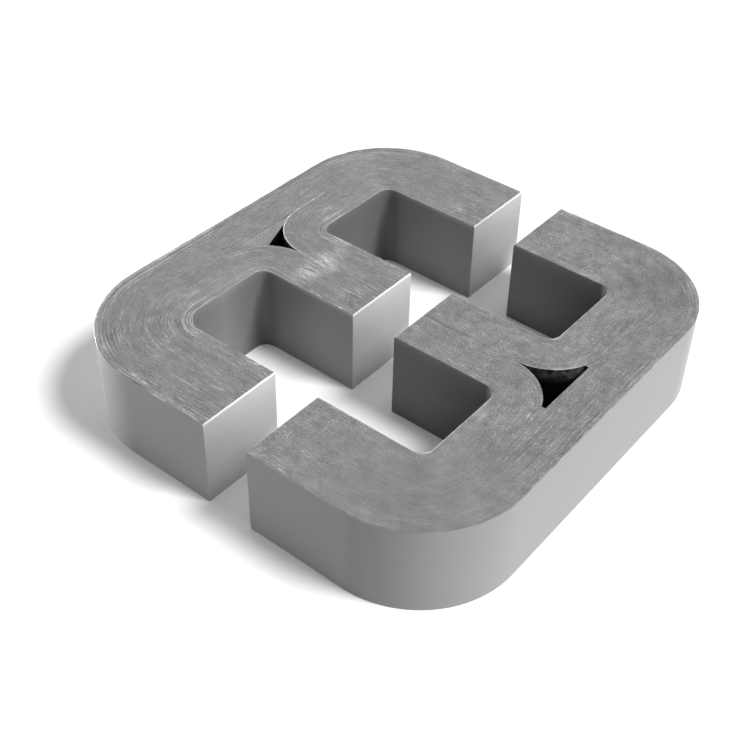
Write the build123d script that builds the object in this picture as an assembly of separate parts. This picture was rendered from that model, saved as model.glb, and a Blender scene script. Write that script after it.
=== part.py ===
from build123d import *
import os
from math import cos, radians, sin, sqrt

# Strip, in millimetres: one long ribbon of coated electrical steel per winding
strip_width = 25.0
strip_thickness = 0.3
turns = 40

# Windows, from leg to leg and from the cut to the yoke of one half
window_width = 29.0
window_reach = 31.5
mandrel_radius = 3.5
# The left half's near corner came off the mandrel slacker than the others
corner_slack = 2.5

# How far apart the two halves stand
cut_gap = 13.3

# The turns wander sideways as they pile up, in bands: how far each band stands proud above and back
# below, from the first turns to the last. The rims of the first and last turns are eased
band_offsets = [0.0, 0.08, 0.0, 0.1]
rim_ease = 0.25
# Lapped cut faces have their long edges broken
lap_bevel = 0.4

# Varnish that set in the pocket between the windings. Angles run along an inner winding's outer corner,
# from where it leaves the outer winding
varnish_recess = 0.1
varnish_start = 7.0
varnish_corner = 22.0
varnish_bridge_near = 52.5
varnish_bridge_far = 29.6

# Nick in the rim of the left half's slack corner, its place an angle from the yoke
nick_angle = 39.0
nick_width = 1.1
nick_depth = 0.5
nick_height = 0.9

# Worked out from the above
build = turns * strip_thickness
overall_height = strip_width + max(band_offsets)
corner_radius = mandrel_radius + build
outer_reach = window_reach + build
row_offset = (window_width + 2 * build) / 2
rows = {"near": -1, "far": 1}
sides = {"left": -1, "right": 1}


def winding_section():
    """Cross-section of a winding, from its first turn at 0 outwards, standing on its flush bands."""
    band = build / len(band_offsets)
    edge = []
    for number, offset in enumerate(band_offsets):
        edge += [(number * band, offset), ((number + 1) * band, offset)]
    edge[0] = (rim_ease, band_offsets[0])
    edge[-1] = (build - rim_ease, band_offsets[-1])
    edge = list(dict.fromkeys(edge))
    lower = [(0, band_offsets[0] + rim_ease), *edge, (build, band_offsets[-1] + rim_ease)]
    upper_edge = [(across, strip_width + up) for across, up in reversed(edge)]
    last_rim = (build, strip_width + band_offsets[-1] - rim_ease)
    first_rim = (0, strip_width + band_offsets[0] - rim_ease)
    return make_face(Polyline(*lower, last_rim, *upper_edge, first_rim, close=True))


def half_winding(side, middle, half_span, reach, near_radius, far_radius):
    """Half of a wound loop: its section carried along one leg, the yoke and the other leg."""
    cut_x = side * cut_gap / 2
    yoke_x = cut_x + side * reach
    corners = [
        (cut_x, middle - half_span),
        (yoke_x, middle - half_span),
        (yoke_x, middle + half_span),
        (cut_x, middle + half_span),
    ]
    first_turn = FilletPolyline(*corners, radius=[near_radius, far_radius])
    start = Plane(origin=corners[0], x_dir=(0, -1, 0), z_dir=(-1, 0, 0))
    return sweep(start * winding_section(), path=first_turn) - lapping_bevels(side)


def lapping_bevels(side):
    """Square bars on edge, which break the long edges of one half's cut faces."""
    bars = []
    for level, depth in ((0, lap_bevel), (overall_height, lap_bevel + max(band_offsets))):
        bar = Box(depth * sqrt(2), 4 * row_offset, depth * sqrt(2))
        bars.append(Pos(side * cut_gap / 2, 0, level) * Rot(0, 45, 0) * bar)
    return bars


def slack(side, row):
    """Extra corner radius, which only the left half's near corner has."""
    return corner_slack if (side, row) == (sides["left"], rows["near"]) else 0


def outer_winding(side):
    """The loop wound round both inner loops."""
    return half_winding(
        side,
        0,
        2 * row_offset,
        outer_reach,
        corner_radius + slack(side, rows["near"]),
        corner_radius + slack(side, rows["far"]),
    )


def inner_winding(side, row):
    """One of the two loops that stand side by side and share the middle leg."""
    outside = mandrel_radius + slack(side, row)
    near_radius, far_radius = (outside, mandrel_radius) if row < 0 else (mandrel_radius, outside)
    return half_winding(side, row * row_offset, window_width / 2, window_reach, near_radius, far_radius)


def nick():
    """Three-cornered chip out of the rim, where something struck it."""
    outside_radius = corner_radius + build + corner_slack
    inward = outside_radius - nick_depth
    outward = outside_radius + nick_depth
    chip = make_face(Polyline((inward, 0), (outward, nick_width), (outward, -nick_width), close=True))
    yoke_x = sides["left"] * (cut_gap / 2 + outer_reach + build)
    centre_x = yoke_x + outside_radius
    centre_y = outside_radius - 2 * row_offset - build
    place = Pos(centre_x, centre_y, overall_height - nick_height) * Rot(0, 0, 180 + nick_angle)
    return place * extrude(chip, 2 * nick_height)


def pocket_point(side, row, angle):
    """A point on an inner winding's outer corner, which bounds the three-cornered pocket."""
    across = corner_radius * (1 - cos(radians(angle)))
    along = corner_radius * (1 - sin(radians(angle)))
    return (side * (cut_gap / 2 + outer_reach - across), row * along)


def pocket_wall(side, row, angle):
    """The outer winding's inner face beside that point."""
    return (side * (cut_gap / 2 + outer_reach), row * corner_radius * (1 - sin(radians(angle))))


def pocket_arc(side, row, start, end):
    """The inner winding's outer corner between two angles."""
    middle = pocket_point(side, row, (start + end) / 2)
    return ThreePointArc(pocket_point(side, row, start), middle, pocket_point(side, row, end))


def varnish(outline):
    """Set varnish of an outline, just short of the strip edges above and below."""
    depth = strip_width - 2 * varnish_recess
    return Pos(0, 0, varnish_recess) * extrude(make_face(Wire(outline)), depth, dir=(0, 0, 1))


def varnish_in_corner(side, row):
    """Varnish that fills one tight end of a pocket."""
    arc = pocket_arc(side, row, varnish_start, varnish_corner)
    start = pocket_wall(side, row, varnish_start)
    end = pocket_wall(side, row, varnish_corner)
    return varnish([Line(start, arc @ 0), arc, Line(arc @ 1, end), Line(end, start)])


def varnish_across_pocket(side):
    """Varnish that fills the yoke side of a pocket from one tight end to the other."""
    near = pocket_arc(side, rows["near"], varnish_start, varnish_bridge_near)
    far = pocket_arc(side, rows["far"], varnish_bridge_far, varnish_start)
    start = pocket_wall(side, rows["near"], varnish_start)
    end = pocket_wall(side, rows["far"], varnish_start)
    return varnish(
        [Line(start, near @ 0), near, Line(near @ 1, far @ 0), far, Line(far @ 1, end), Line(end, start)]
    )


os.makedirs("parts", exist_ok=True)
for side_name, side in sides.items():
    outer = outer_winding(side)
    if side_name == "left":
        outer = outer - nick()
    export_step(outer, f"parts/{side_name}_outer_winding.step")
    for row_name, row in rows.items():
        export_step(inner_winding(side, row), f"parts/{side_name}_{row_name}_winding.step")
export_step(varnish_across_pocket(sides["left"]), "parts/left_pocket_varnish.step")
for row_name, row in rows.items():
    export_step(varnish_in_corner(sides["right"], row), f"parts/right_{row_name}_pocket_varnish.step")
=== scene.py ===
from math import cos, pi, radians, sin

import bpy
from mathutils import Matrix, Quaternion, Vector


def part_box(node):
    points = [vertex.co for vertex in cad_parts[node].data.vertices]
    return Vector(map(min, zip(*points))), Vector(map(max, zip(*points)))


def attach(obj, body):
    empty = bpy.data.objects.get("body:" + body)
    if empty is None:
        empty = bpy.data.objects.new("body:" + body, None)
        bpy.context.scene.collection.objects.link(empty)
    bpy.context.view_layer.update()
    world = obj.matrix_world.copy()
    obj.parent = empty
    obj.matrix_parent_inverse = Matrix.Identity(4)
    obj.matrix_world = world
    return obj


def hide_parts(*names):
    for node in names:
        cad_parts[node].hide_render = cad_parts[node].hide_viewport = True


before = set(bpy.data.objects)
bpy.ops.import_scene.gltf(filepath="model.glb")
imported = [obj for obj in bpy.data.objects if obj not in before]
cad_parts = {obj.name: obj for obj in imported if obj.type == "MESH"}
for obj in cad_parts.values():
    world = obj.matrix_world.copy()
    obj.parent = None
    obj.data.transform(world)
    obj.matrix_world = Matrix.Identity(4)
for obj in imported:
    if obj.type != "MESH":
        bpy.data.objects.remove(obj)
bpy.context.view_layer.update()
scene = bpy.context.scene


# Windings: each of the three loops is one ribbon of coated silicon steel, wound turn on turn over a
# square mandrel, soaked in varnish and baked. It is then cut in two through its legs, and the cut
# faces are lapped flat. Here every turn is a strip of its own, so the tops show real strip edges.
mm = 0.001
turns = 40
turn_pitch = 0.3 * mm
stacking_factor = 0.96
strip_width = 25 * mm
strip_edge_ease = 0.02 * mm
rim_ease = 0.25 * mm
joint_ease = 0.03 * mm
lap_bevel = 0.3 * mm
mandrel_radius = 3.5 * mm
corner_slack = 2.5 * mm
corner_steps = 22
# How far the turns wander sideways in waves, how many waves, and how far a single turn may stray
wander = 0.08 * mm
wander_waves = 2
turn_stray = 0.02 * mm
build = turns * turn_pitch


def add_socket(tree, name, kind, direction="INPUT"):
    """A named socket on a node group, whichever kind of tree it is."""
    return tree.interface.new_socket(name, in_out=direction, socket_type=f"NodeSocket{kind}")


def plug(tree, value, socket):
    """Joins an output to a socket, or sets a plain value on it."""
    if isinstance(value, bpy.types.NodeSocket):
        tree.links.new(value, socket)
    else:
        socket.default_value = value


def add_node(tree, kind, *values, **settings):
    """A node with its settings, whose first inputs take the values in turn. None skips an input."""
    node = tree.nodes.new(kind)
    for setting, value in settings.items():
        setattr(node, setting, value)
    for value, socket in zip(values, (s for s in node.inputs if s.enabled)):
        if value is not None:
            plug(tree, value, socket)
    return node


def calculate(tree, operation, *values):
    """One Math node's result."""
    return add_node(tree, "ShaderNodeMath", *values, operation=operation).outputs[0]


def all_of(tree, *masks):
    """The product of several masks."""
    result = masks[0]
    for mask in masks[1:]:
        result = calculate(tree, "MULTIPLY", result, mask)
    return result


def attribute(tree, name, kind="FLOAT"):
    """A named attribute's value, in a tree that makes geometry."""
    return add_node(tree, "GeometryNodeInputNamedAttribute", name, data_type=kind).outputs[0]


def keep_attribute(tree, geometry, name, value, domain):
    """Stores a value on the geometry under a name."""
    node = add_node(
        tree, "GeometryNodeStoreNamedAttribute", geometry, True, name, value,
        data_type="FLOAT", domain=domain,
    )
    return node.outputs[0]


def make_winding_tree():
    """Winds a strip: the path of the first turn comes in, and all the turns come out as strips."""
    tree = bpy.data.node_groups.new("wind_strip", "GeometryNodeTree")
    add_socket(tree, "First Turn", "Geometry")
    for name, kind in {
        "Turns": "Int", "Pitch": "Float", "Thickness": "Float", "Width": "Float",
        "Edge Ease": "Float", "First Ease": "Float", "Last Ease": "Float", "Corner Steps": "Int",
        "Wander": "Float", "Turn Stray": "Float", "Cut Place": "Float", "Lap Bevel": "Float",
        "Open Turn": "Int", "Pocket Turn": "Int", "Pocket Start": "Float", "Pocket Reach": "Float",
        "Open Rim": "Float", "Pocket Rim": "Float", "Streaks": "Float", "Seed": "Int",
        "Edges": "Material", "Wall": "Material", "Open Wall": "Material", "Cut": "Material",
        "Varnish And Shade": "Material",
    }.items():
        add_socket(tree, name, kind)
    add_socket(tree, "Winding", "Geometry", "OUTPUT")
    given = tree.nodes.new("NodeGroupInput").outputs

    path = add_node(tree, "GeometryNodeMeshToCurve", given["First Turn"])
    copies = add_node(
        tree, "GeometryNodeDuplicateElements", path.outputs[0], True, given["Turns"],
        domain="SPLINE",
    )
    number = copies.outputs["Duplicate Index"]
    numbered = keep_attribute(tree, copies.outputs[0], "turn", number, "CURVE")
    turn = attribute(tree, "turn")
    outward = attribute(tree, "outward", "FLOAT_VECTOR")

    # Each turn lies outside the last, and strays a little sideways in waves and by itself
    offset = calculate(tree, "MULTIPLY", calculate(tree, "ADD", turn, 0.5), given["Pitch"])
    share = calculate(tree, "DIVIDE", turn, given["Turns"])
    phase = calculate(tree, "MULTIPLY", share, 2 * wander_waves * pi)
    wave = calculate(tree, "MULTIPLY_ADD", calculate(tree, "SINE", phase), -0.5, 0.5)
    stray = add_node(
        tree, "FunctionNodeRandomValue", 0.0, given["Turn Stray"], turn, given["Seed"],
        data_type="FLOAT",
    )
    height = calculate(tree, "MULTIPLY_ADD", wave, given["Wander"], stray.outputs["Value"])
    half_width = calculate(tree, "MULTIPLY", given["Width"], 0.5)
    middle = calculate(tree, "ADD", height, half_width)
    aside = add_node(tree, "ShaderNodeVectorMath", outward, operation="SCALE")
    plug(tree, offset, aside.inputs["Scale"])
    lift = add_node(tree, "ShaderNodeCombineXYZ", 0.0, 0.0, middle)
    move = add_node(
        tree, "ShaderNodeVectorMath", aside.outputs[0], lift.outputs[0], operation="ADD"
    )
    placed = add_node(tree, "GeometryNodeSetPosition", numbered, True)
    plug(tree, move.outputs[0], placed.inputs["Offset"])
    bend = calculate(tree, "ADD", attribute(tree, "corner_radius"), offset)
    bent = add_node(tree, "GeometryNodeFilletCurve", placed.outputs[0], mode="POLY")
    plug(tree, given["Corner Steps"], bent.inputs["Count"])
    plug(tree, all_of(tree, bend, attribute(tree, "is_corner")), bent.inputs["Radius"])
    length = add_node(tree, "GeometryNodeSplineParameter").outputs["Length"]
    measured = keep_attribute(tree, bent.outputs[0], "along", length, "POINT")
    level = add_node(tree, "GeometryNodeSetCurveNormal", measured, mode="Z_UP")

    section = add_node(
        tree, "GeometryNodeCurvePrimitiveQuadrilateral", given["Thickness"], given["Width"]
    )
    eased = add_node(tree, "GeometryNodeFilletCurve", section.outputs[0], mode="POLY")
    eased.inputs["Count"].default_value = 1
    plug(tree, given["Edge Ease"], eased.inputs["Radius"])
    position = add_node(tree, "GeometryNodeInputPosition").outputs[0]
    spot = add_node(tree, "ShaderNodeSeparateXYZ", position)
    profile = keep_attribute(tree, eased.outputs[0], "across", spot.outputs[0], "POINT")
    profile = keep_attribute(tree, profile, "down", spot.outputs[1], "POINT")
    strip = add_node(tree, "GeometryNodeCurveToMesh", level.outputs[0], profile)
    strip.inputs["Fill Caps"].default_value = True

    # The rims of the first and last turns are eased
    across = attribute(tree, "across")
    is_first = calculate(tree, "LESS_THAN", turn, 0.5)
    before_last = calculate(tree, "SUBTRACT", given["Turns"], 1.5)
    is_last = calculate(tree, "GREATER_THAN", turn, before_last)
    inner_rim = all_of(tree, is_first, calculate(tree, "LESS_THAN", across, 0.0))
    outer_rim = all_of(tree, is_last, calculate(tree, "GREATER_THAN", across, 0.0))
    back = calculate(tree, "SIGN", attribute(tree, "down"))
    first_ease = all_of(tree, inner_rim, given["First Ease"])
    last_ease = all_of(tree, outer_rim, given["Last Ease"])
    eased_by = all_of(tree, back, calculate(tree, "ADD", first_ease, last_ease))
    sunk = add_node(tree, "ShaderNodeCombineXYZ", 0.0, 0.0, eased_by)
    rimmed = add_node(tree, "GeometryNodeSetPosition", strip.outputs[0], True)
    plug(tree, sunk.outputs[0], rimmed.inputs["Offset"])

    # Lapping breaks the upper and lower edges of the cut faces
    past_cut = calculate(tree, "SUBTRACT", spot.outputs[0], given["Cut Place"])
    from_cut = calculate(tree, "ABSOLUTE", past_cut)
    near_cut = calculate(tree, "LESS_THAN", from_cut, 0.5 * strip_edge_ease)
    highest = calculate(tree, "SUBTRACT", given["Width"], given["Lap Bevel"])
    raised = calculate(tree, "MAXIMUM", spot.outputs[2], given["Lap Bevel"])
    clipped = calculate(tree, "MINIMUM", raised, highest)
    bevelled_place = add_node(
        tree, "ShaderNodeCombineXYZ", spot.outputs[0], spot.outputs[1], clipped
    )
    bevelled = add_node(
        tree, "GeometryNodeSetPosition", rimmed.outputs[0], near_cut, bevelled_place.outputs[0]
    )

    # Bare edges above and below, coated walls, lapped cuts, and varnish with painted shade in the
    # pocket
    normal = add_node(tree, "GeometryNodeInputNormal").outputs[0]
    facing = add_node(tree, "ShaderNodeSeparateXYZ", normal)
    upright = calculate(tree, "ABSOLUTE", facing.outputs[2])
    endways = calculate(tree, "ABSOLUTE", facing.outputs[0])
    is_edge = calculate(tree, "GREATER_THAN", upright, 0.5)
    on_cut = calculate(tree, "LESS_THAN", from_cut, given["Lap Bevel"])
    is_cut = all_of(tree, on_cut, calculate(tree, "GREATER_THAN", endways, 0.5))
    distance_out = calculate(tree, "ABSOLUTE", spot.outputs[0])
    distance_aside = calculate(tree, "ABSOLUTE", spot.outputs[1])
    is_open = calculate(tree, "COMPARE", turn, given["Open Turn"], 0.5)
    is_by_pocket = calculate(tree, "COMPARE", turn, given["Pocket Turn"], 0.5)
    in_pocket = all_of(
        tree,
        is_by_pocket,
        calculate(tree, "GREATER_THAN", distance_out, given["Pocket Start"]),
        calculate(tree, "LESS_THAN", distance_aside, given["Pocket Reach"]),
    )
    past_open = calculate(tree, "SUBTRACT", turn, given["Open Turn"])
    whole = add_node(tree, "GeometryNodeRealizeInstances", bevelled.outputs[0]).outputs[0]
    # Open Rim and Pocket Rim set how strong the painted rim highlights are
    for kept, value in {
        "open_rim": all_of(tree, is_open, given["Open Rim"]),
        "pocket_rim": all_of(tree, is_by_pocket, given["Pocket Rim"]),
        "streaks": given["Streaks"],
        "from_open": calculate(tree, "ABSOLUTE", past_open),
    }.items():
        whole = keep_attribute(tree, whole, kept, value, "POINT")
    result = add_node(tree, "GeometryNodeSetMaterial", whole, True, given["Wall"])
    for chosen, finish in (
        (is_open, "Open Wall"), (in_pocket, "Varnish And Shade"), (is_edge, "Edges"), (is_cut, "Cut"),
    ):
        result = add_node(
            tree, "GeometryNodeSetMaterial", result.outputs[0], chosen, given[finish]
        )
    out = tree.nodes.new("NodeGroupOutput")
    plug(tree, result.outputs[0], out.inputs[0])
    return tree


def noise(tree, place, scale, detail=2.0, roughness=0.5):
    """A noise texture's value at a place."""
    node = add_node(tree, "ShaderNodeTexNoise", place)
    node.inputs["Scale"].default_value = scale
    node.inputs["Detail"].default_value = detail
    node.inputs["Roughness"].default_value = roughness
    return node.outputs["Fac"]


def remap(tree, value, start, end, low, high, smooth=False):
    """Carries a value from one range over to another, and holds it there."""
    kind = "SMOOTHSTEP" if smooth else "LINEAR"
    node = add_node(tree, "ShaderNodeMapRange", value, interpolation_type=kind)
    ends = {"From Min": start, "From Max": end, "To Min": low, "To Max": high}
    for name, amount in ends.items():
        plug(tree, amount, node.inputs[name])
    return node.outputs[0]


def about_one(tree, value, amount):
    """Turns a noise, which mostly lies from 0.3 to 0.7, into a factor that varies by an amount."""
    low = calculate(tree, "SUBTRACT", 1.0, amount)
    high = calculate(tree, "ADD", 1.0, amount)
    return remap(tree, value, 0.3, 0.7, low, high)


def distance_from(tree, place, point):
    """How far a place lies from a point."""
    node = add_node(tree, "ShaderNodeVectorMath", place, point, operation="DISTANCE")
    return node.outputs["Value"]


def object_place(tree):
    """Coordinates that lie still on the core."""
    return add_node(tree, "ShaderNodeTexCoord").outputs["Object"]


def stored(tree, name):
    """A value that the windings carry, in a material."""
    return add_node(tree, "ShaderNodeAttribute", attribute_name=name).outputs["Fac"]


def make_grain():
    """Shared unevenness of steel and varnish: clouds a few millimetres wide, and fine grain.

    Besides the tone it gives a factor for the roughness and the height of the grain.
    """
    tree = bpy.data.node_groups.new("uneven_surface", "ShaderNodeTree")
    add_socket(tree, "Place", "Vector")
    for name in ("Clouds", "Grain"):
        add_socket(tree, name, "Float")
    for name in ("Tone", "Dullness", "Relief"):
        add_socket(tree, name, "Float", "OUTPUT")
    given = tree.nodes.new("NodeGroupInput").outputs
    cloud_scale, grain_scale = 190.0, 2200.0
    broad = noise(tree, given["Place"], cloud_scale, 4.0, 0.6)
    fine = noise(tree, given["Place"], grain_scale, 2.0, 0.6)
    cloudy = about_one(tree, broad, given["Clouds"])
    grainy = about_one(tree, fine, given["Grain"])
    out = tree.nodes.new("NodeGroupOutput").inputs
    plug(tree, all_of(tree, cloudy, grainy), out["Tone"])
    plug(tree, about_one(tree, broad, 0.12), out["Dullness"])
    plug(tree, fine, out["Relief"])
    return tree


def unevenness(tree, shader, roughness, relief, clouds, grain):
    """Places the shared unevenness in a material with its own strengths, and returns the tone.

    It varies the shader's roughness, and raises the grain by a height in metres.
    """
    node = add_node(tree, "ShaderNodeGroup", node_tree=grain_tree)
    plug(tree, object_place(tree), node.inputs["Place"])
    plug(tree, clouds, node.inputs["Clouds"])
    plug(tree, grain, node.inputs["Grain"])
    plug(tree, all_of(tree, node.outputs["Dullness"], roughness), shader.inputs["Roughness"])
    bump = add_node(tree, "ShaderNodeBump")
    bump.inputs["Strength"].default_value = 1.0
    bump.inputs["Distance"].default_value = relief
    plug(tree, node.outputs["Relief"], bump.inputs["Height"])
    plug(tree, bump.outputs["Normal"], shader.inputs["Normal"])
    return node.outputs["Tone"]


def new_material(name, metallic, specular):
    """A material's tree and its Principled shader."""
    material = bpy.data.materials.new(name)
    material.use_nodes = True
    shader = material.node_tree.nodes["Principled BSDF"]
    shader.inputs["Metallic"].default_value = metallic
    shader.inputs["Specular IOR Level"].default_value = specular
    return material, material.node_tree, shader


def grey(tree, brightness):
    """A neutral colour as bright as a value."""
    return add_node(tree, "ShaderNodeCombineColor", brightness, brightness, brightness).outputs[0]


def make_strip_edges():
    """Slit edges of the strip: bare and dull, streaked along the turns, with painted glints and
    highlights.
    """
    material, tree, shader = new_material("strip_edges", 0.45, 0.5)
    turn, along, line_strength = stored(tree, "turn"), stored(tree, "along"), stored(tree, "streaks")
    from_open = stored(tree, "from_open")
    place = object_place(tree)
    spot = add_node(tree, "ShaderNodeSeparateXYZ", place).outputs
    out, aside = calculate(tree, "ABSOLUTE", spot[0]), calculate(tree, "ABSOLUTE", spot[1])
    on_yoke = remap(tree, out, 28 * mm, 48 * mm, 0.0, 1.0)
    # The left half has more of the fine lines, the right one is more evenly grained
    lined = remap(tree, line_strength, 0.5, 1.0, 0.0, 1.0)

    def by_half(right, left):
        """A strength that differs between the two halves."""
        return remap(tree, lined, 0.0, 1.0, right, left)

    def streak(length, turns_wide, detail):
        """Noise drawn out along the turns."""
        lengthways = calculate(tree, "DIVIDE", along, length)
        sideways = calculate(tree, "DIVIDE", turn, turns_wide)
        track = add_node(tree, "ShaderNodeCombineXYZ", lengthways, sideways, length / mm)
        return noise(tree, track.outputs[0], 1.0, detail, 0.6)

    # The right half's near corner was wiped smooth, and its far bend is darker in the middle
    wiped_corner = (44 * mm, -53 * mm, strip_width)
    dark_bend = (47 * mm, 50 * mm, strip_width)
    from_wiped = distance_from(tree, place, wiped_corner)
    from_bend = distance_from(tree, place, dark_bend)
    kept = remap(tree, from_wiped, 12 * mm, 35 * mm, 0.35, 1.0)
    bend = remap(tree, from_bend, 3 * mm, 14 * mm, 0.84, 1.0, smooth=True)
    broad = about_one(tree, streak(14 * mm, 3.0, 2.0), 0.07)
    hairline_depth = by_half(0.04, remap(tree, on_yoke, 0.0, 1.0, 0.14, 0.2))
    hairlines = about_one(tree, streak(2.5 * mm, 0.9, 2.0), hairline_depth)

    # Thin painted glints and darker lines follow the turns, most of them near the open rim, as
    # dashes
    drawn_out = streak(9 * mm, 0.85, 2.0)
    dashes = remap(tree, streak(1.7 * mm, 0.6, 1.0), 0.42, 0.62, 0.1, 1.5)
    glint_lines = all_of(tree, remap(tree, drawn_out, 0.53, 0.68, 0.0, 0.65), dashes)
    dark_lines = remap(tree, drawn_out, 0.32, 0.46, 0.3, 0.0)
    on_straight_yoke = remap(tree, aside, 28 * mm, 42 * mm, 2.1, 0.55)
    spread = by_half(
        remap(tree, on_yoke, 0.0, 1.0, 0.85, on_straight_yoke),
        remap(tree, on_yoke, 0.0, 1.0, 1.15, 0.65),
    )
    short_lines = all_of(tree, calculate(tree, "SUBTRACT", glint_lines, dark_lines), spread)
    long_lines = all_of(
        tree,
        remap(tree, streak(60 * mm, 0.8, 0.0), 0.38, 0.62, -0.28, 0.65),
        remap(tree, streak(9 * mm, 1.5, 1.0), 0.35, 0.6, 0.25, 1.0),
        by_half(0.6, 1.0),
        remap(tree, from_open, 10.0, 19.0, 1.0, 0.0),
        remap(tree, out, 20 * mm, 36 * mm, 0.15, 1.0),
    )
    lines = all_of(
        tree,
        calculate(tree, "ADD", short_lines, long_lines),
        remap(tree, from_open, 5.0, 14.0, 1.3, 0.8),
        remap(tree, noise(tree, place, 70.0, 1.0), 0.4, 0.6, 0.3, 1.3),
        line_strength,
        kept,
    )

    # Fine bright specks, thicker in some places than in others
    thick = remap(tree, noise(tree, place, 120.0), 0.4, 0.65, 0.25, 1.0)
    fine = remap(tree, noise(tree, place, 3300.0, 1.0), 0.57, 0.74, 0.0, 1.3)
    specks = all_of(tree, fine, thick, by_half(1.1, 0.65), kept)
    marks = calculate(tree, "ADD", calculate(tree, "ADD", lines, specks), 1.0)
    blotch_depth = all_of(tree, kept, by_half(0.2, 0.07))
    blotches = about_one(tree, noise(tree, place, 500.0, 3.0), blotch_depth)
    legs = remap(tree, on_yoke, 0.0, 1.0, 1.08, 0.96)

    # Rims carry a painted highlight and are smoother: the open ones all along, and those between
    # windings by the pocket
    by_pocket = all_of(
        tree,
        remap(tree, aside, 14 * mm, 30 * mm, 1.0, 0.1, smooth=True),
        remap(tree, out, 24 * mm, 36 * mm, 0.1, 1.0, smooth=True),
    )
    pocket_rim = all_of(tree, stored(tree, "pocket_rim"), by_pocket)
    painted_light = all_of(
        tree,
        calculate(tree, "ADD", stored(tree, "open_rim"), pocket_rim),
        remap(tree, streak(4 * mm, 1.0, 2.0), 0.35, 0.6, 0.4, 1.0),
    )
    # A dark line shows where the two inner windings lie against each other in the middle leg
    joint = all_of(
        tree,
        remap(tree, aside, 0.1 * mm, 0.35 * mm, 1.0, 0.0),
        remap(tree, out, 34 * mm, 38 * mm, 1.0, 0.0),
        by_half(0.4, 0.15),
        remap(tree, noise(tree, place, 160.0, 1.0), 0.38, 0.58, 0.3, 1.0),
    )
    seam = calculate(tree, "SUBTRACT", 1.0, joint)
    # The left half's middle leg carries a painted glint in one place, where it is also smoother
    patch_middle = (-27.5 * mm, -1.5 * mm, 0.0)
    per_patch = (1 / (6 * mm), 1 / (13 * mm), 0.0)
    off_patch = add_node(tree, "ShaderNodeVectorMath", place, patch_middle, operation="SUBTRACT")
    across_patch = add_node(
        tree, "ShaderNodeVectorMath", off_patch.outputs[0], per_patch, operation="MULTIPLY"
    )
    from_patch = distance_from(tree, across_patch.outputs[0], (0.0, 0.0, 0.0))
    painted_glint = all_of(
        tree,
        remap(tree, from_patch, 0.2, 1.0, 1.0, 0.0, smooth=True),
        remap(tree, streak(5 * mm, 0.75, 2.0), 0.4, 0.6, 0.05, 1.2),
    )
    painted_highlights = calculate(tree, "ADD", calculate(tree, "ADD", painted_light, painted_glint), 1.0)

    roughness = remap(tree, painted_highlights, 1.0, 2.5, 0.52, 0.4)
    grain = all_of(tree, kept, by_half(0.3, 0.2))
    uneven = unevenness(tree, shader, roughness, 0.008 * mm, 0.12, grain)
    bare_steel = 0.204
    wear = all_of(tree, broad, bend, hairlines, marks, blotches, painted_highlights, seam, legs)
    plug(tree, grey(tree, all_of(tree, wear, uneven, bare_steel)), shader.inputs["Base Color"])
    return material


def make_coated_wall(name, brightness, on_yoke=1.0, in_corner=1.0):
    """Flat of the strip: smooth, satin insulating coating.

    A window's walls can carry painted shade, darker on the yoke and darkest in the corners.
    """
    material, tree, shader = new_material(name, 0.0, 0.25)
    spot = add_node(tree, "ShaderNodeSeparateXYZ", object_place(tree)).outputs
    out, aside = calculate(tree, "ABSOLUTE", spot[0]), calculate(tree, "ABSOLUTE", spot[1])
    past_leg = calculate(tree, "SUBTRACT", out, window_end - mandrel_radius)
    off_middle = calculate(tree, "ABSOLUTE", calculate(tree, "SUBTRACT", aside, window_middle))
    half_yoke = 11 * mm
    along_yoke = calculate(tree, "MAXIMUM", calculate(tree, "SUBTRACT", half_yoke, off_middle), 0.0)
    from_corner = calculate(tree, "ADD", calculate(tree, "ABSOLUTE", past_leg), along_yoke)
    # Painted shade: the wall darkens towards the yoke and into the window's corners
    painted_shade = all_of(
        tree,
        remap(tree, from_corner, 2 * mm, 20 * mm, in_corner, 1.0, smooth=True),
        remap(tree, out, window_end - 8 * mm, window_end, 1.0, on_yoke, smooth=True),
    )
    uneven = unevenness(tree, shader, 0.4, 0.001 * mm, 0.02, 0.01)
    tone = all_of(tree, uneven, painted_shade, brightness)
    plug(tree, grey(tree, tone), shader.inputs["Base Color"])
    return material


def make_lapped_cut():
    """Lapped cut: bare steel, with painted light at the top, the foot and each leg's far side."""
    material, tree, shader = new_material("lapped_cut", 0.05, 0.3)
    spot = add_node(tree, "ShaderNodeSeparateXYZ", object_place(tree)).outputs
    low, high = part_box("left_outer_winding")
    leg_width = 2 * build
    leg_pitch = (high.y - low.y - leg_width) / 2
    # Painted light and shade across the cut: lighter towards the far side of each leg, and a little
    # darker on the far leg
    past_side = calculate(tree, "SUBTRACT", spot[1], low.y)
    across_leg = calculate(tree, "MODULO", past_side, leg_pitch)
    across = remap(tree, across_leg, 0.0, leg_width, 0.77, 1.17)
    by_leg = remap(tree, spot[1], build, leg_pitch - build, 1.0, 0.9)
    # Painted light up the cut: palest at its upper edge, and lighter again at its foot, against the
    # shadow of the other half
    upper = calculate(tree, "POWER", remap(tree, spot[2], 8 * mm, strip_width, 0.0, 1.0), 2.0)
    lower = remap(tree, spot[2], 0.0, 9 * mm, 0.98, 0.58)
    painted_light = calculate(tree, "MULTIPLY_ADD", upper, 0.4, lower)
    uneven = unevenness(tree, shader, 0.4, 0.002 * mm, 0.02, 0.02)
    lapped_steel = 0.89
    tone = all_of(tree, uneven, painted_light, across, by_leg, lapped_steel)
    plug(tree, grey(tree, tone), shader.inputs["Base Color"])
    return material


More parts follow.
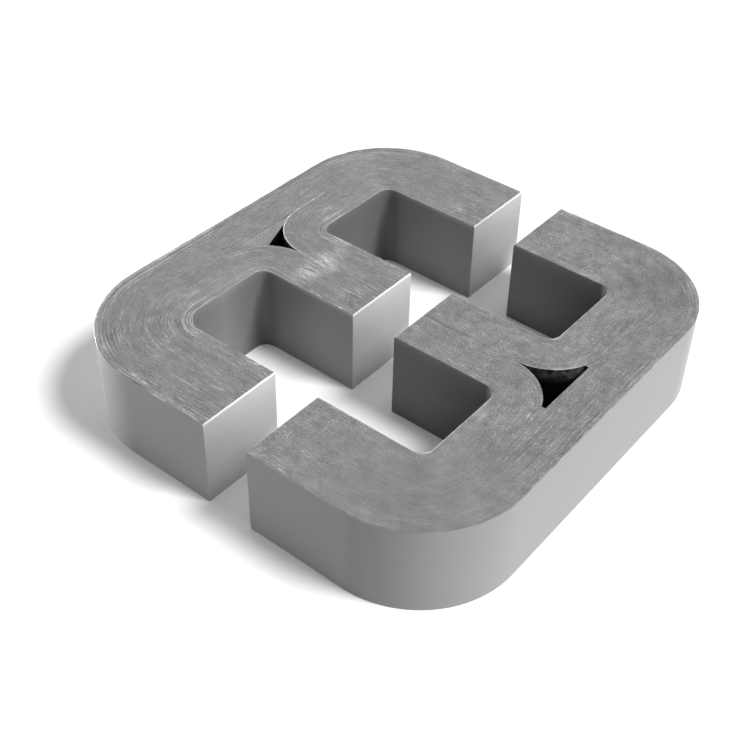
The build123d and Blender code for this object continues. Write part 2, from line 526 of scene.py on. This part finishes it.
def make_varnish_and_shade_wall():
    """Wall inside the pocket: black, as varnish and painted shade, with painted light near its rim.
    """
    material, tree, shader = new_material("varnish_and_shade_wall", 0.0, 0.1)
    place = object_place(tree)
    height = add_node(tree, "ShaderNodeSeparateXYZ", place).outputs[2]
    shaded_below, lit_above = strip_width - 4.5 * mm, strip_width - 1 * mm
    # Painted light falls in unevenly near the rim, and painted shade keeps the wall black below it
    near_rim = remap(tree, height, shaded_below, lit_above, 0.0, 1.0, smooth=True)
    rim_light = remap(tree, noise(tree, place, 420.0, 3.0, 0.6), 0.38, 0.62, 0.01, 0.16)
    uneven = unevenness(tree, shader, 0.5, 0.01 * mm, 0.1, 0.1)
    # Black for the varnish and for the painted shade deep in the pocket
    bare_varnish = 0.004
    varnish_and_shade = calculate(tree, "ADD", all_of(tree, near_rim, rim_light), bare_varnish)
    tone = all_of(tree, uneven, varnish_and_shade)
    plug(tree, grey(tree, tone), shader.inputs["Base Color"])
    return material


def first_turn(name, corner_radii):
    """The first turn's line in a node's box: where it bends, and how each point moves outwards.

    Both halves are walked clockwise as seen from above, so outwards is always on the left.
    """
    low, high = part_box(name)
    side = 1 if low.x > 0 else -1
    cut_x, yoke_x = (low.x, high.x - build) if side > 0 else (high.x, low.x + build)
    legs = [(low.y + build, -1, corner_radii[0]), (high.y - build, 1, corner_radii[1])]
    if side > 0:
        legs.reverse()
    # Each leg has a point at the cut, one where its bevel ends, and one at the yoke, called None
    from_cut, to_cut = (0, lap_bevel, None), (None, lap_bevel, 0)
    points, moves, radii = [], [], []
    for (leg_y, leg_side, radius), places in zip(legs, (from_cut, to_cut)):
        for place in places:
            at_corner = place is None
            points.append((yoke_x if at_corner else cut_x + side * place, leg_y, 0))
            moves += [side if at_corner else 0, leg_side, 0]
            radii.append(radius if at_corner else 0)
    path = bpy.data.meshes.new(name + "_path")
    path.from_pydata(points, [(start, start + 1) for start in range(len(points) - 1)], [])
    path.attributes.new("outward", "FLOAT_VECTOR", "POINT").data.foreach_set("vector", moves)
    path.attributes.new("corner_radius", "FLOAT", "POINT").data.foreach_set("value", radii)
    is_corner = [float(radius > 0) for radius in radii]
    path.attributes.new("is_corner", "FLOAT", "POINT").data.foreach_set("value", is_corner)
    return path, cut_x


def make_chip():
    """The shape of the nick in the rim of the left outer winding: a three-cornered prism."""
    nick_angle = radians(39)
    nick_width = 1.1 * mm
    nick_depth = 0.5 * mm
    nick_height = 0.9 * mm
    low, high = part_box("left_outer_winding")
    radius = mandrel_radius + 2 * build + corner_slack
    centre = Vector((low.x + radius, low.y + radius, 0))
    out = Vector((-cos(nick_angle), -sin(nick_angle), 0))
    aside = Vector((out.y, -out.x, 0))
    outline = [
        centre + out * (radius - nick_depth),
        centre + out * (radius + nick_depth) + aside * nick_width,
        centre + out * (radius + nick_depth) - aside * nick_width,
    ]
    foot = Vector((0, 0, high.z - nick_height))
    top = Vector((0, 0, high.z + nick_height))
    points = [corner + level for level in (foot, top) for corner in outline]
    faces = [(2, 1, 0), (3, 4, 5), (0, 1, 4, 3), (1, 2, 5, 4), (2, 0, 3, 5)]
    mesh = bpy.data.meshes.new("chip")
    mesh.from_pydata(points, [], faces)
    mesh.materials.append(lapped_cut)
    chip = bpy.data.objects.new("chip", mesh)
    scene.collection.objects.link(chip)
    return chip


def wind(name, corner_radii, pocket_turn, open_wall, pocket_rim, streaks, seed, chip=None):
    """One half winding as a piece that stands for its node."""
    path, cut_x = first_turn(name, corner_radii)
    piece = bpy.data.objects.new(name + "_turns", path)
    scene.collection.objects.link(piece)
    modifier = piece.modifiers.new("wind", "NODES")
    modifier.node_group = winding_tree
    # The outer winding is open at its last turn, and the inner ones at their first
    is_outer = pocket_turn == 0
    # The open rim carries a painted highlight, stronger on the outer winding
    open_turn, open_rim = (last, 1.5) if is_outer else (0, 0.7)
    first_ease, last_ease = (joint_ease, rim_ease) if is_outer else (rim_ease, joint_ease)
    pocket_corner = mandrel_radius + build
    values = {
        "Turns": turns, "Pitch": turn_pitch, "Thickness": turn_pitch * stacking_factor,
        "Width": strip_width, "Edge Ease": strip_edge_ease, "First Ease": first_ease,
        "Last Ease": last_ease, "Corner Steps": corner_steps, "Wander": wander,
        "Turn Stray": turn_stray, "Cut Place": cut_x, "Lap Bevel": lap_bevel,
        "Open Turn": open_turn, "Pocket Turn": pocket_turn,
        "Pocket Start": yoke_gap_x - pocket_corner, "Pocket Reach": pocket_corner,
        "Open Rim": open_rim, "Pocket Rim": pocket_rim, "Streaks": streaks, "Seed": seed,
        "Edges": strip_edges, "Wall": coated_wall, "Open Wall": open_wall,
        "Cut": lapped_cut, "Varnish And Shade": varnish_and_shade_wall,
    }
    for socket in winding_tree.interface.items_tree:
        if socket.name in values:
            modifier[socket.identifier] = values[socket.name]
    if chip:
        nick = piece.modifiers.new("nick", "BOOLEAN")
        nick.object = chip
        nick.material_mode = "TRANSFER"
    graph = bpy.context.evaluated_depsgraph_get()
    mesh = bpy.data.meshes.new_from_object(
        piece.evaluated_get(graph), preserve_all_data_layers=True, depsgraph=graph
    )
    piece.modifiers.clear()
    piece.data = mesh
    mesh.polygons.foreach_set("use_smooth", [True] * len(mesh.polygons))
    mesh.set_sharp_from_angle(angle=radians(30))
    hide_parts(name)
    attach(piece, "root")


winding_tree = make_winding_tree()
grain_tree = make_grain()
strip_edges = make_strip_edges()
window_low, window_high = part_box("right_far_winding")
window_end = window_high.x - build
window_middle = (window_low.y + window_high.y) / 2
coated_wall = make_coated_wall("coated_wall", 0.485)
# Each window's walls are a copy of the coated wall with painted light and shade: a brightness of
# its own, darker on the yoke and darkest in the corners
window_shade_left_near = make_coated_wall("window_shade_left_near", 0.57, 0.62, 0.66)
window_shade_left_far = make_coated_wall("window_shade_left_far", 0.46, 0.47, 0.88)
window_shade_right = make_coated_wall("window_shade_right", 0.275, 0.68, 0.75)
lapped_cut = make_lapped_cut()
varnish_and_shade_wall = make_varnish_and_shade_wall()
yoke_gap_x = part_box("right_near_winding")[1].x
tight = mandrel_radius
tight_outer = mandrel_radius + build
slack = tight + corner_slack
slack_outer = tight_outer + corner_slack
last = turns - 1
chip = make_chip()
wind("left_near_winding", (slack, tight), last, window_shade_left_near, 0.4, 1.0, 1)
wind("left_far_winding", (tight, tight), last, window_shade_left_far, 2.0, 0.9, 2)
wind("left_outer_winding", (slack_outer, tight_outer), 0, coated_wall, 0.1, 1.0, 3, chip)
wind("right_near_winding", (tight, tight), last, window_shade_right, 0.1, 0.5, 4)
wind("right_far_winding", (tight, tight), last, window_shade_right, 1.2, 0.6, 5)
wind("right_outer_winding", (tight_outer, tight_outer), 0, coated_wall, 0.0, 0.65, 6)
bpy.data.objects.remove(chip)


# Set varnish: what ran into the three-cornered pockets while the core was baked, wiped flush with
# the strip edges and dusted with steel, and black where it was never rubbed.
def make_set_varnish():
    """Black varnish with grey steel dust on its upper and lower faces."""
    material, tree, shader = new_material("set_varnish_dusted", 0.0, 0.1)
    normal = add_node(tree, "ShaderNodeNewGeometry").outputs["Normal"]
    upright = add_node(tree, "ShaderNodeSeparateXYZ", normal).outputs[2]
    facing = calculate(tree, "ABSOLUTE", upright)
    bare_varnish, dusted_varnish = 0.003, 0.27
    dusted = remap(tree, facing, 0.4, 0.6, bare_varnish, dusted_varnish)
    uneven = unevenness(tree, shader, 0.5, 0.01 * mm, 0.2, 0.35)
    plug(tree, grey(tree, all_of(tree, dusted, uneven)), shader.inputs["Base Color"])
    return material


set_varnish = make_set_varnish()
for name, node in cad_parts.items():
    if name.endswith("_varnish"):
        node.data.materials.clear()
        node.data.materials.append(set_varnish)


# Table: a white sheet under the core that keeps its soft shadow. It is white to the camera and in
# reflections, and greyer to light that bounces off it.
def background_rays(tree):
    """1 for rays that see the background: the camera's, reflected and see-through ones."""
    rays = add_node(tree, "ShaderNodeLightPath").outputs
    seen = calculate(tree, "MAXIMUM", rays["Is Camera Ray"], rays["Is Glossy Ray"])
    return calculate(tree, "MAXIMUM", seen, rays["Is Transmission Ray"])


def make_table():
    """A wide white plane."""
    reach = 3.0
    mesh = bpy.data.meshes.new("table")
    corners = [(-reach, -reach, 0), (reach, -reach, 0), (reach, reach, 0), (-reach, reach, 0)]
    mesh.from_pydata(corners, [], [(0, 1, 2, 3)])
    table = bpy.data.objects.new("table", mesh)
    scene.collection.objects.link(table)
    material, tree, shader = new_material("table_white", 0.0, 0.0)
    shader.inputs["Roughness"].default_value = 1.0
    grey_bounce, white = 0.2, 1.0
    tone = remap(tree, background_rays(tree), 0.0, 1.0, grey_bounce, white)
    plug(tree, grey(tree, tone), shader.inputs["Base Color"])
    mesh.materials.append(material)


make_table()


# Light: an even room that is white to the camera, a soft key lamp from the right and behind, a weak
# one from above, and low soft boxes all round that give the upright walls their sheen.
world = bpy.data.worlds.new("studio")
scene.world = world
world.use_nodes = True
room = world.node_tree
room_light = 0.17
room_strength = remap(room, background_rays(room), 0.0, 1.0, room_light, 1.0)
plug(room, room_strength, room.nodes["Background"].inputs["Strength"])
room.nodes["Background"].inputs["Color"].default_value = (1, 1, 1, 1)


def add_lamp(name, azimuth, elevation, share, spread):
    """A soft, distant lamp that gives a surface facing it a share of plain white light.

    Azimuth turns from +X towards +Y, and spread is how wide the lamp looks from the core. All are
    in degrees.
    """
    toward = Vector((
        cos(radians(azimuth)) * cos(radians(elevation)),
        sin(radians(azimuth)) * cos(radians(elevation)),
        sin(radians(elevation)),
    ))
    data = bpy.data.lights.new(name, "SUN")
    data.energy = share * pi
    data.angle = radians(spread)
    lamp = bpy.data.objects.new(name, data)
    scene.collection.objects.link(lamp)
    lamp.location = toward
    lamp.rotation_mode = "QUATERNION"
    lamp.rotation_quaternion = toward.to_track_quat("Z", "Y")


add_lamp("key", azimuth=19, elevation=54, share=0.96, spread=18)
add_lamp("top_box", azimuth=12, elevation=88, share=0.14, spread=40)
add_lamp("right_box", azimuth=0, elevation=1.2, share=0.14, spread=2)
add_lamp("back_box", azimuth=88, elevation=1.2, share=0.4, spread=2)
add_lamp("left_box", azimuth=183, elevation=2, share=1.2, spread=6)
add_lamp("front_box", azimuth=-90, elevation=1.2, share=0.07, spread=2)


# Camera: it stands where the photograph's did, worked out from the corners of the two halves and
# turned a little about its own sight line.
camera_place = Vector((151.453, -202.760, 219.236)) * mm
camera_azimuth = 35.880
camera_elevation = 39.156
camera_roll = 2.821
sight = Vector((
    -sin(radians(camera_azimuth)) * cos(radians(camera_elevation)),
    cos(radians(camera_azimuth)) * cos(radians(camera_elevation)),
    -sin(radians(camera_elevation)),
))
camera_data = bpy.data.cameras.new("camera")
camera_data.lens = 59.494
camera_data.shift_x = -0.0549
camera_data.shift_y = -0.0459
camera_data.clip_start = 0.01
camera = bpy.data.objects.new("camera", camera_data)
scene.collection.objects.link(camera)
camera.location = camera_place
camera.rotation_mode = "QUATERNION"
roll = Quaternion((0, 0, 1), radians(camera_roll))
camera.rotation_quaternion = sight.to_track_quat("-Z", "Y") @ roll
scene.camera = camera
scene.view_settings.view_transform = "Standard"
